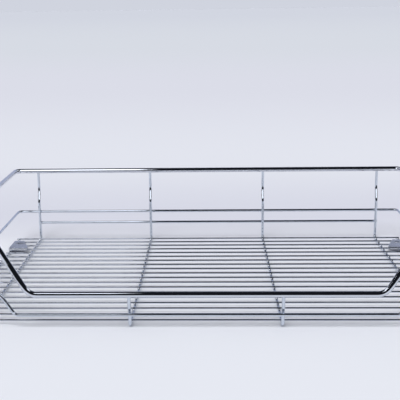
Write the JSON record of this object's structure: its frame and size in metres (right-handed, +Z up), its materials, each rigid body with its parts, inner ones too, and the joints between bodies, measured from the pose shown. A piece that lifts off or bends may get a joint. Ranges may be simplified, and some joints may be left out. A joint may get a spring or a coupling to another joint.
{
  "type": "pot and pan rack",
  "caption": "Welded chrome wire basket for pots and pans, with a dipped front, lower rail, wire floor and slotted corner brackets.",
  "frame": {"origin": "on the ground under the middle of the basket, at the underside of the bearers", "axes": "+X to the right as seen from the dipped front, +Y to the back, +Z up"},
  "size_m": [0.764, 0.48, 0.1455],
  "materials": {
    "chrome_rail": "polished",
    "chrome_frame_wire": "polished",
    "chrome_floor_wire": "polished",
    "chrome_sheet": "polished"
  },
  "bodies": {
    "root": {"back_guard_wire": "chrome_frame_wire", "bearer_inner_left": "chrome_frame_wire", "bearer_inner_right": "chrome_frame_wire", "bearer_outer_left": "chrome_frame_wire", "bearer_outer_right": "chrome_frame_wire", "corner_bracket_back_left": "chrome_sheet", "corner_bracket_back_right": "chrome_sheet", "corner_bracket_front_left": "chrome_sheet", "corner_bracket_front_right": "chrome_sheet", "floor_wire_01": "chrome_floor_wire", "floor_wire_02": "chrome_floor_wire", "floor_wire_03": "chrome_floor_wire", "floor_wire_04": "chrome_floor_wire", "floor_wire_05": "chrome_floor_wire", "floor_wire_06": "chrome_floor_wire", "floor_wire_07": "chrome_floor_wire", "floor_wire_08": "chrome_floor_wire", "floor_wire_09": "chrome_floor_wire", "floor_wire_10": "chrome_floor_wire", "floor_wire_11": "chrome_floor_wire", "floor_wire_12": "chrome_floor_wire", "floor_wire_13": "chrome_floor_wire", "floor_wire_14": "chrome_floor_wire", "floor_wire_15": "chrome_floor_wire", "floor_wire_16": "chrome_floor_wire", "floor_wire_17": "chrome_floor_wire", "floor_wire_18": "chrome_floor_wire", "floor_wire_19": "chrome_floor_wire", "lower_rail": "chrome_frame_wire", "side_bearer_left": "chrome_frame_wire", "side_bearer_right": "chrome_frame_wire", "side_stay_left": "chrome_frame_wire", "side_stay_right": "chrome_frame_wire", "top_rail": "chrome_rail"}
  },
  "joints": []
}
